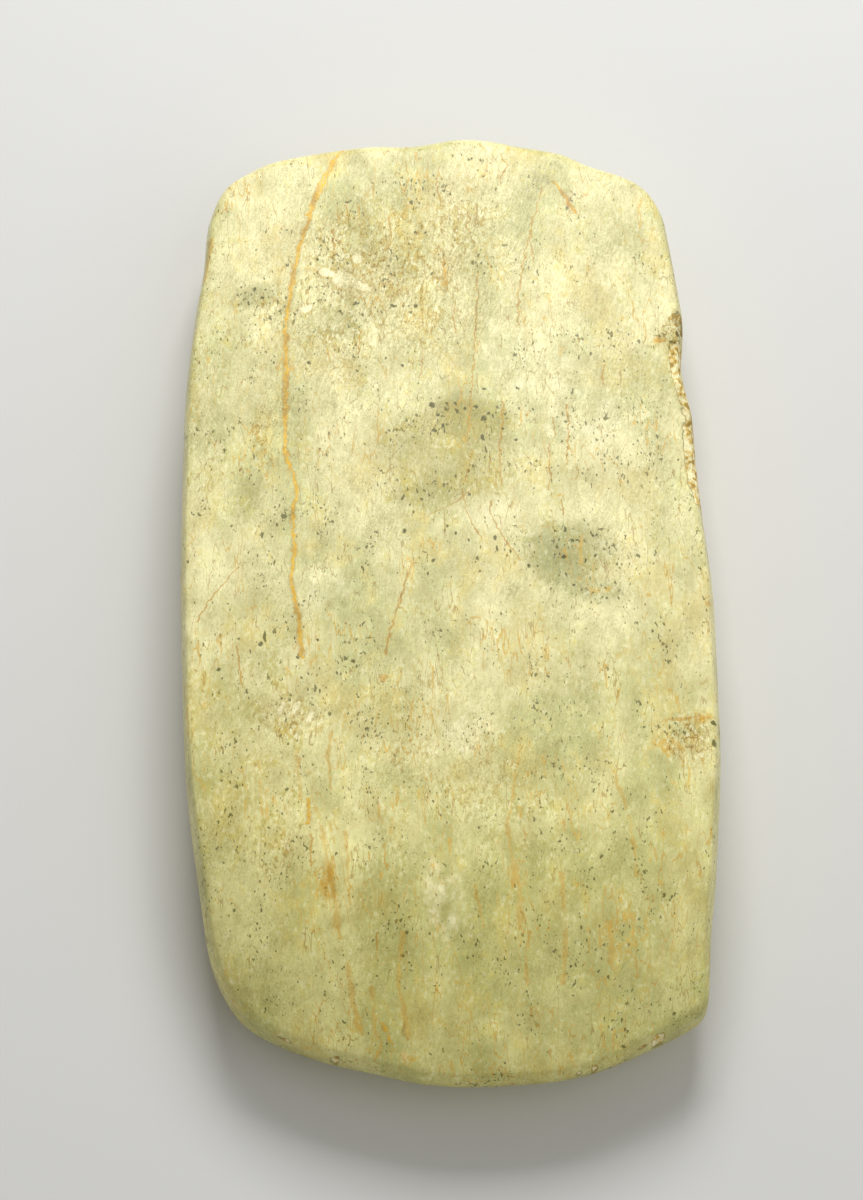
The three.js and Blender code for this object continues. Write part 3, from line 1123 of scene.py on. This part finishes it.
class Shader:
    """A material's node tree, written as expressions."""

    def __init__(self, name: str) -> None:
        """Start an empty material.

        Args:
            name: The material's name.
        """
        self.material = bpy.data.materials.new(name)
        self.material.use_nodes = True
        self.tree = self.material.node_tree
        self.tree.nodes.clear()

    def node(self, kind: str, settings: dict | None = None, inputs: dict | None = None) -> bpy.types.Node:
        """Add a node.

        Args:
            kind: The node's type.
            settings: Its settings; points gives a float curve's points.
            inputs: Values or wires by socket name or number.

        Returns:
            The node.
        """
        made = self.tree.nodes.new(kind)
        for name, value in (settings or {}).items():
            if name == "points":
                self._set_curve(made, value)
            else:
                setattr(made, name, value)
        for key, value in (inputs or {}).items():
            socket = made.inputs[key]
            if isinstance(value, Wire):
                self.tree.links.new(value.socket, socket)
            elif isinstance(value, tuple) and len(value) == 3 and socket.type == "RGBA":
                socket.default_value = (*value, 1.0)
            else:
                socket.default_value = value
        return made

    @staticmethod
    def _set_curve(made: bpy.types.Node, points: list[tuple[float, float]]) -> None:
        """Give a float curve its points, joined by straight lines.

        Args:
            made: The curve's node.
            points: The points in rising order.
        """
        mapping = made.mapping
        mapping.clip_min_x, mapping.clip_max_x = points[0][0], points[-1][0]
        mapping.clip_min_y, mapping.clip_max_y = -CURVE_REACH, CURVE_REACH
        mapping.extend = "HORIZONTAL"
        curve = mapping.curves[0]
        curve.points[0].location = points[0]
        curve.points[1].location = points[-1]
        for point in points[1:-1]:
            curve.points.new(*point)
        for point in curve.points:
            point.handle_type = "VECTOR"
        mapping.update()

    def wire(self, made: bpy.types.Node, output: str | int = 0) -> Wire:
        """Wrap one of a node's outputs."""
        return Wire(self, made.outputs[output])

    def channel(self, channel: Channel) -> Wire:
        """Read one of the stone's channels."""
        made = self.node("ShaderNodeAttribute", {"attribute_name": channel.value})
        return self.wire(made, "Fac")

    def blend(self, under: "Wire | Colour", over: "Wire | Colour", share: "Wire | float",
              mode: str = "MIX") -> Wire:
        """Lay one colour over another.

        Args:
            under: The colour below.
            over: The colour on top.
            share: How much of it shows.
            mode: The way that they mix.

        Returns:
            The mixed colour.
        """
        made = self.node(
            "ShaderNodeMix", {"data_type": "RGBA", "blend_type": mode, "clamp_factor": True},
            {0: share, 6: under, 7: over},
        )
        return self.wire(made, 2)

    def vector(self, operation: str, inputs: dict, output: int = 0) -> Wire:
        """Do one step of vector maths."""
        return self.wire(self.node("ShaderNodeVectorMath", {"operation": operation}, inputs), output)

    def turned(self, place: Wire, angle: float) -> Wire:
        """Turn a place about the upright axis."""
        inputs = {"Vector": place, "Angle": angle}
        return self.wire(self.node("ShaderNodeVectorRotate", {"rotation_type": "Z_AXIS"}, inputs))

    def noise(self, place: Wire, size: "float | tuple[float, float, float]", detail: float = 2.0,
              roughness: float = 0.5, seed: float = 0.0) -> Wire:
        """Sample noise.

        Args:
            place: Position in millimetres.
            size: Size of the largest bumps in millimetres, for all axes or for each.
            detail: Layers of finer noise.
            roughness: Strength of the finer layers.
            seed: Offset that gives a different field.

        Returns:
            A value around a half.
        """
        sizes = size if isinstance(size, tuple) else (size, size, size)
        scaled = self.vector("DIVIDE", {0: place, 1: sizes})
        scaled = self.vector("ADD", {0: scaled, 1: (seed, seed * 1.7, -seed)})
        made = self.node(
            "ShaderNodeTexNoise", {"noise_dimensions": "3D"},
            {"Vector": scaled, "Scale": 1.0, "Detail": detail, "Roughness": roughness},
        )
        return self.wire(made, "Fac")

    def finish(self, colour: "Wire | Colour", roughness: "Wire | float", bumps: Wire | None = None,
               bump_depth: float = 0.0, **constants: object) -> bpy.types.Material:
        """End the material in one Principled shader.

        Args:
            colour: Base colour.
            roughness: Roughness.
            bumps: Height in millimetres, if any.
            bump_depth: Strength of the height.
            constants: Other sockets' plain values, by name with underscores.

        Returns:
            The material.
        """
        values = {name.replace("_", " "): value for name, value in constants.items()}
        shader = self.node("ShaderNodeBsdfPrincipled", {}, {
            "Base Color": colour, "Roughness": roughness, **values,
        })
        if bumps is not None:
            bump = self.node("ShaderNodeBump", {}, {
                "Height": bumps, "Strength": bump_depth, "Distance": METRES,
            })
            self.tree.links.new(bump.outputs["Normal"], shader.inputs["Normal"])
        output = self.node("ShaderNodeOutputMaterial")
        self.tree.links.new(shader.outputs[0], output.inputs["Surface"])
        return self.material


@dataclass(frozen=True)
class Mottling:
    """The place on the stone, its channels, and the noises that the layers of the finish share."""

    shader: Shader
    place: Wire
    across: Wire
    along: Wire
    grain: Wire
    fine: Wire
    drift: Wire
    blotches: Wire
    areas: Wire
    wander: Wire
    brown: Wire
    broken: Wire
    upper: Wire

    @classmethod
    def over(cls, shader: Shader) -> "Mottling":
        """Lay the noises over the stone, with their sizes in millimetres.

        Args:
            shader: The material.

        Returns:
            The shared fields.
        """
        coordinates = shader.node("ShaderNodeTexCoord")
        place = shader.vector("SCALE", {0: shader.wire(coordinates, "Object"), "Scale": 1 / METRES})
        parts = shader.node("ShaderNodeSeparateXYZ", {}, {0: place})
        return cls(
            shader=shader,
            place=place,
            across=shader.wire(parts, 0),
            along=shader.wire(parts, 1),
            grain=shader.noise(place, (0.42, 0.7, 0.42), 2.0, 0.6),
            fine=shader.noise(place, (0.18, 0.26, 0.18), 1.0, 0.5, 4.0),
            drift=shader.noise(place, (1.5, 2.2, 1.5), 2.0, 0.6, 7.0),
            blotches=shader.noise(place, (3.0, 4.6, 3.0), 2.0, 0.5, 79.0),
            areas=shader.noise(place, (5.0, 8.0, 5.0), 2.0, 0.5, 71.0),
            wander=(shader.noise(place, 0.9, 2.0, 0.65, 31.0) - 0.5) * 0.9,
            brown=shader.channel(Channel.BROWN),
            broken=shader.channel(Channel.BROKEN),
            upper=shader.channel(Channel.UPPER),
        )


@dataclass(frozen=True)
class JadeiteFinish:
    """Satin-polished pale jadeite: cream and sage ground, dark specks, ochre veins and brown stains."""

    cream: Colour = linear(244, 237, 180)
    sage: Colour = linear(212, 210, 148)
    straw: Colour = linear(230, 214, 138)
    bone: Colour = linear(255, 250, 204)
    bruise: Colour = linear(255, 248, 198)
    olive: Colour = linear(168, 155, 58)
    slate: Colour = linear(150, 154, 92)
    umber: Colour = linear(188, 160, 82)
    ochre: Colour = linear(220, 180, 80)
    amber: Colour = linear(236, 190, 62)
    rust: Colour = linear(204, 152, 40)
    earth: Colour = linear(164, 128, 50)
    deep_earth: Colour = linear(118, 92, 36)
    iron: Colour = linear(84, 82, 22)
    # Multiplied in towards the blade: partly the stone's own yellowing, partly painted warm light on the
    # lower part.
    warmth: Colour = (0.9, 0.9, 0.67)
    depth: Colour = (1.0, 0.95, 0.72)
    roughness: float = 0.42
    sheen: float = 0.3
    bump_depth: float = 0.6
    streak_lean: float = 0.3
    vein_end: float = 0.3
    vein_leap: float = 62.0
    speck_sizes: tuple[SpeckSize, ...] = (
        SpeckSize((0.2, 0.4, 0.2), 0.757, 0.5, 17.0),
        SpeckSize((0.3, 0.56, 0.3), 0.738, 0.72, 29.0),
        SpeckSize((0.44, 0.8, 0.44), 0.757, 0.75, 53.0),
    )

    def dress(self, stone: Stone, piece: bpy.types.Object) -> None:
        """Put the finish on the stone.

        Args:
            stone: The stone, which places the spots and veins.
            piece: The stone's object.
        """
        mottling = Mottling.over(Shader("polished_jadeite"))
        grain, broken = mottling.grain, mottling.broken
        colour = self._ground(mottling)
        colour = self._stains(mottling, colour)
        colour = self._granules(mottling, colour)
        colour = self._specks(mottling, colour)
        colour = self._veins(mottling, colour, stone)
        colour = self._hairlines(mottling, colour)
        colour = self._fractures(mottling, colour)
        colour = self._spots(mottling, colour, stone)
        colour = self._wear(mottling, colour)
        roughness = self.roughness + (grain - 0.5) * 0.25 + broken * 0.3 + mottling.brown * 0.15
        bumps = grain * (0.05 + broken * 0.2) + mottling.fine * 0.02
        material = mottling.shader.finish(
            colour, roughness, bumps, self.bump_depth, Specular_IOR_Level=self.sheen,
        )
        piece.data.materials.clear()
        piece.data.materials.append(material)

    def _ground(self, mottling: Mottling) -> Wire:
        """Mix the stone's main colours in soft clouds, darker and more yellow towards the blade: partly the
        stone's own colour, partly painted light standing in for a warm lamp on the lower part.

        Args:
            mottling: The shared fields.

        Returns:
            The ground colour.
        """
        shader, place = mottling.shader, mottling.place
        clouds = shader.noise(place, (9.0, 14.0, 9.0), 3.0, 0.6, 1.0)
        warmth = shader.noise(place, (5.0, 8.0, 5.0), 2.0, 0.6, 2.0)
        mottle = (mottling.drift - 0.5) * 0.4 + (mottling.grain - 0.5) * 0.35
        colour = shader.blend(self.cream, self.sage, (clouds + mottle).ease(0.38, 0.66))
        colour = shader.blend(colour, self.straw, (warmth + mottle).ease(0.48, 0.7) * 0.6)
        # Darker and more yellow towards the blade: partly the stone's own colour, partly painted warm light.
        return shader.blend(colour, self.warmth, mottling.along.ease(2.0, -52.0), "MULTIPLY")

    def _stains(self, mottling: Mottling, colour: Wire) -> Wire:
        """Lay the placed patches over the ground, broken up by the grain.

        Args:
            mottling: The shared fields.
            colour: The colour so far.

        Returns:
            The stained colour.
        """
        shader = mottling.shader
        broken_up = (mottling.drift - 0.5) * 1.3 + (mottling.grain - 0.5) * 0.9
        layers = (
            (Channel.PALE, self.bone, 0.25, 0.9, 0.8),
            (Channel.OLIVE, self.olive, 0.05, 1.1, 0.56),
            (Channel.GREY, self.slate, 0.1, 1.1, 0.6),
            (Channel.ORANGE, self.ochre, 0.2, 0.8, 0.9),
        )
        for channel, tint, low, high, share in layers:
            cover = shader.channel(channel)
            mask = (cover + broken_up * cover.ease(0.0, 0.3)).ease(low, high)
            colour = shader.blend(colour, tint, mask * share)
        return colour

    def _granules(self, mottling: Mottling, colour: Wire) -> Wire:
        """Strew brown and pale granules where the polish has worn through.

        Args:
            mottling: The shared fields.
            colour: The colour so far.

        Returns:
            The granular colour.
        """
        shader, brown = mottling.shader, mottling.brown
        drift = mottling.drift - 0.5
        clumps = mottling.grain + drift * 0.7
        dark = (clumps + brown * 0.1).ease(0.5, 0.76) * (brown * 0.45 + 0.12)
        colour = shader.blend(colour, self.umber, dark)
        pale = (1 - mottling.grain + drift * 0.5).ease(0.58, 0.72) * (brown * 0.4 + 0.3)
        colour = shader.blend(colour, self.bone, pale)
        ridges = shader.noise(mottling.place, (0.9, 1.6, 0.9), 2.0, 0.6, 83.0)
        squiggle = abs(ridges - 0.5).ease(0.035, 0.012) * (clumps + brown * 0.1).ease(0.44, 0.6)
        return shader.blend(colour, self.earth, squiggle * (brown * 0.75 + 0.12))

    def _specks(self, mottling: Mottling, colour: Wire) -> Wire:
        """Scatter the dark specks, denser in the speckled patches.

        Args:
            mottling: The shared fields.
            colour: The colour so far.

        Returns:
            The speckled colour.
        """
        shader, place = mottling.shader, mottling.place
        crowd = shader.noise(place, (3.5, 5.0, 3.5), 2.0, 0.55, 23.0)
        crowd = (crowd + shader.channel(Channel.SPECKLED) * 0.12).ease(0.42, 0.72)
        for specks in self.speck_sizes:
            spots = shader.noise(place, specks.size, 1.0, 0.4, specks.seed)
            spot = (spots + crowd * 0.1).ease(specks.threshold, specks.threshold + 0.05)
            colour = shader.blend(colour, self.iron, spot * specks.share)
        return colour

    def _veins(self, mottling: Mottling, colour: Wire, stone: Stone) -> Wire:
        """Draw the placed veins and healed cracks along their courses.

        Args:
            mottling: The shared fields.
            colour: The colour so far.
            stone: The stone, which places the courses.

        Returns:
            The veined colour.
        """
        shader, upper, drift = mottling.shader, mottling.upper, mottling.drift
        nearest = {kind: self._nearest_vein(mottling, stone, kind) for kind in VEINS}
        fade = 0.55 + 0.45 * drift.ease(0.35, 0.55)
        swell = (drift - 0.5) * 1.4
        ragged = nearest[VeinKind.SEAM] + swell * 1.6 + (mottling.grain - 0.5) * 2
        seam = ragged.ease(1.0, 0.4) * upper
        hair = nearest[VeinKind.HAIR] + swell
        wisp = (nearest[VeinKind.WISP] + swell * 2).ease(1.0, 0.0) * upper
        colour = shader.blend(colour, self.ochre, wisp * 0.6)
        colour = shader.blend(colour, self.rust, hair.ease(1.4, 0.6) * upper * 0.6)
        colour = shader.blend(colour, self.earth, hair.ease(0.8, 0.2) * upper * 0.2)
        colour = shader.blend(colour, self.umber, ragged.ease(1.7, 1.1) * upper * 0.35)
        colour = shader.blend(colour, self.amber, seam * fade)
        return shader.blend(colour, self.rust, seam * (1 - fade) * 0.8)

    def _nearest_vein(self, mottling: Mottling, stone: Stone, kind: VeinKind) -> Wire:
        """Measure how far the nearest vein of one kind is.

        Past its ends a vein's curve leaps clear of the stone, so that the vein stops there.

        Args:
            mottling: The shared fields.
            stone: The stone, which places the courses.
            kind: The kind of vein.

        Returns:
            The distance, in half widths of the vein.
        """
        shader = mottling.shader
        across = mottling.across + mottling.wander
        spread = 0.4 if kind is VeinKind.HAIR else 0.55
        nearest = None
        for vein in VEINS[kind]:
            course = sorted((stone.on_top(pixel) for pixel in vein.course), key=lambda spot: spot[1])
            points = [(y, x) for x, y in course]
            (low_y, low_x), (high_y, high_x) = points[0], points[-1]
            points = [(low_y - self.vein_end, low_x - self.vein_leap), *points,
                      (high_y + self.vein_end, high_x + self.vein_leap)]
            curve = shader.node("ShaderNodeFloatCurve", {"points": points}, {"Value": mottling.along})
            away = abs(across - shader.wire(curve)) * (1 / (vein.width * spread + 0.02))
            nearest = away if nearest is None else away.least(nearest)
        return nearest

    def _hairlines(self, mottling: Mottling, colour: Wire) -> Wire:
        """Strew fine ochre threads, mostly towards the blade, and brown cracks towards the butt.

        Args:
            mottling: The shared fields.
            colour: The colour so far.

        Returns:
            The colour with its hairlines.
        """
        shader, place = mottling.shader, mottling.place
        low = mottling.along.ease(0.0, -30.0) * 0.08
        threads = shader.noise(place, (1.5, 9.0, 3.0), 2.0, 0.55, 37.0)
        thread = abs(threads - 0.5).ease(0.014, 0.002) * (1 - mottling.areas + low).ease(0.48, 0.62)
        colour = shader.blend(colour, self.ochre, thread * 0.75)
        cracks = shader.noise(place, (1.1, 5.5, 3.0), 2.0, 0.5, 67.0)
        crack = abs(cracks - 0.5).ease(0.014, 0.004) * (mottling.blotches - low * 0.8).ease(0.48, 0.58)
        return shader.blend(colour, self.earth, crack * 0.55)

    def _fractures(self, mottling: Mottling, colour: Wire) -> Wire:
        """Colour the broken places: pale fresh stone flecked with brown dirt, and a dark line along the edge
        of each broken place.

        Args:
            mottling: The shared fields.
            colour: The colour so far.

        Returns:
            The colour with its fractures.
        """
        shader, broken = mottling.shader, mottling.broken
        grain = (mottling.grain - 0.5) * 0.5
        dirt = shader.noise(mottling.place, 0.75, 1.0, 0.7, 43.0) + grain
        fresh = shader.blend(self.bruise, self.ochre, dirt.ease(0.4, 0.6))
        fresh = shader.blend(fresh, self.deep_earth, dirt.ease(0.57, 0.67) * 0.6)
        colour = shader.blend(colour, fresh, (broken + grain).ease(0.35, 0.6) * 0.9)
        # A dark line along the edge of the broken places.
        return shader.blend(colour, self.deep_earth, abs(broken - 0.3).ease(0.25, 0.05) * 0.5)

    def _spots(self, mottling: Mottling, colour: Wire, stone: Stone) -> Wire:
        """Set the placed spots, each a ragged ellipse, with a painted shadow, a soft brown rim, round each
        pale one.

        Args:
            mottling: The shared fields.
            colour: The colour so far.
            stone: The stone, which places the spots.

        Returns:
            The spotted colour.
        """
        shader, upper = mottling.shader, mottling.upper
        grain = mottling.grain - 0.5
        ragged = shader.wire(shader.node(
            "ShaderNodeCombineXYZ", {}, {0: mottling.wander * 0.5, 1: grain * 0.7},
        ))
        moved = shader.vector("MULTIPLY_ADD", {0: mottling.place, 1: (1.0, 1.0, 0.0), 2: ragged})
        nearest = self._nearest_spots(shader, moved, stone)
        # Painted shadow: a soft brown rim round each pale fleck.
        colour = shader.blend(colour, self.umber, nearest[Tint.PALE].ease(1.9, 1.2) * upper * 0.35)
        paints = (
            (Tint.RUST, self.rust, 0.5, 0.0),
            (Tint.PALE, self.bruise, 0.9, 1.6),
            (Tint.DARK, self.iron, 0.85, 0.0),
        )
        for tint, paint, share, tearing in paints:
            mask = (nearest[tint] + grain * tearing).ease(1.3, 0.7) * upper
            colour = shader.blend(colour, paint, mask * share)
        return colour

    @staticmethod
    def _nearest_spots(shader: Shader, place: Wire, stone: Stone) -> dict[Tint, Wire]:
        """Measure how far the nearest spot of each tint is.

        Args:
            shader: The material.
            place: Plan position in millimetres, made uneven.
            stone: The stone, which places the spots.

        Returns:
            The distance for each tint, in shares of the spot's reach.
        """
        pixel = stone.view.distance / stone.view.focal
        frames: dict[float, Wire] = {}
        nearest: dict[Tint, Wire] = {}
        for tint, spots in SPOTS.items():
            for spot in spots:
                turn = math.radians(spot.turn) + stone.view.roll
                if spot.turn not in frames:
                    frames[spot.turn] = shader.turned(place, -turn)
                x, y = stone.on_top(spot.centre)
                narrow, tall = 1 / (spot.reach[0] * pixel), 1 / (spot.reach[1] * pixel)
                level = x * math.cos(turn) + y * math.sin(turn)
                upright = y * math.cos(turn) - x * math.sin(turn)
                local = shader.vector("MULTIPLY_ADD", {
                    0: frames[spot.turn], 1: (narrow, tall, 0.0), 2: (-level * narrow, -upright * tall, 0.0),
                })
                away = shader.vector("LENGTH", {0: local}, 1)
                nearest[tint] = away.least(nearest[tint]) if tint in nearest else away
        return nearest

    def _wear(self, mottling: Mottling, colour: Wire) -> Wire:
        """Lighten and darken the colour unevenly, more where the polish is worn.

        Args:
            mottling: The shared fields.
            colour: The colour so far.

        Returns:
            The final colour.
        """
        shader, grain = mottling.shader, mottling.grain
        leaning = shader.turned(mottling.place, self.streak_lean)
        streaks = shader.noise(leaning, (0.2, 1.1, 0.5), 2.0, 0.6, 61.0)
        worn = 0.4 + mottling.areas.ease(0.4, 0.64) * 0.6 + mottling.brown * 0.8
        worn = worn + mottling.along.ease(-15.0, 25.0) * 0.5
        slow = (mottling.drift - 0.5) * 0.75 + (mottling.blotches - 0.5) * 0.65
        tone = 1 + (grain * 0.4 + mottling.fine * 0.45 + streaks * 0.5 - 0.675) * worn + slow
        colour = shader.vector("SCALE", {0: colour, "Scale": tone})
        return shader.blend(colour, self.depth, tone.ease(1.04, 0.72) * 0.6, "MULTIPLY")


@dataclass(frozen=True)
class Studio:
    """The pale floor, the soft lights and the surrounding glow."""

    floor_half: float = 1.2
    floor_colour: Colour = linear(222, 222, 220)
    floor_roughness: float = 0.8
    key_place: tuple[float, float, float] = (0.03, 0.34, 0.34)
    key_size: float = 0.22
    key_power: float = 1.84
    fill_place: tuple[float, float, float] = (0.3, -0.22, 0.5)
    fill_size: float = 0.5
    fill_power: float = 0.7
    glow: float = 0.28
    glow_colour: Colour = (1.0, 0.985, 0.94)

    def build(self) -> None:
        """Make the floor, the lights and the world."""
        half = self.floor_half
        mesh = bpy.data.meshes.new("floor")
        mesh.from_pydata([(-half, -half, 0), (half, -half, 0), (half, half, 0), (-half, half, 0)], [],
                         [(0, 1, 2, 3)])
        floor = bpy.data.objects.new("floor", mesh)
        bpy.context.collection.objects.link(floor)
        mesh.materials.append(Shader("pale_floor").finish(self.floor_colour, self.floor_roughness))
        self._light("key", self.key_place, self.key_size, self.key_power)
        self._light("fill", self.fill_place, self.fill_size, self.fill_power)
        world = bpy.data.worlds.new("glow")
        world.use_nodes = True
        background = world.node_tree.nodes["Background"]
        background.inputs["Color"].default_value = (*self.glow_colour, 1.0)
        background.inputs["Strength"].default_value = self.glow
        bpy.context.scene.world = world
        bpy.context.scene.view_settings.view_transform = "Standard"

    @staticmethod
    def _light(name: str, place: tuple[float, float, float], size: float, power: float) -> None:
        """Add one square soft light that looks at the stone.

        Args:
            name: The light's name.
            place: Where it stands, in metres.
            size: The length of its sides in metres.
            power: Its power in watts.
        """
        data = bpy.data.lights.new(name, "AREA")
        data.size = size
        data.energy = power
        light = bpy.data.objects.new(name, data)
        light.location = place
        light.rotation_euler = (-Vector(place)).to_track_quat("-Z", "Y").to_euler()
        bpy.context.collection.objects.link(light)


def main() -> None:
    """Build the camera, the stone and the studio, and report each piece."""
    logging.basicConfig(level=logging.INFO, format="%(name)s: %(message)s")
    view = PhotoView()
    camera = view.make_camera()
    log.info("camera: %.1f mm lens", camera.data.lens)
    stone = Stone(view)
    piece = stone.build()
    JadeiteFinish().dress(stone, piece)
    log.info("%s: %d faces, %d material nodes", piece.name, len(piece.data.polygons),
             len(piece.data.materials[0].node_tree.nodes))
    Studio().build()
    log.info("studio: floor, two lights and glow")


if __name__ == "__main__":
    main()
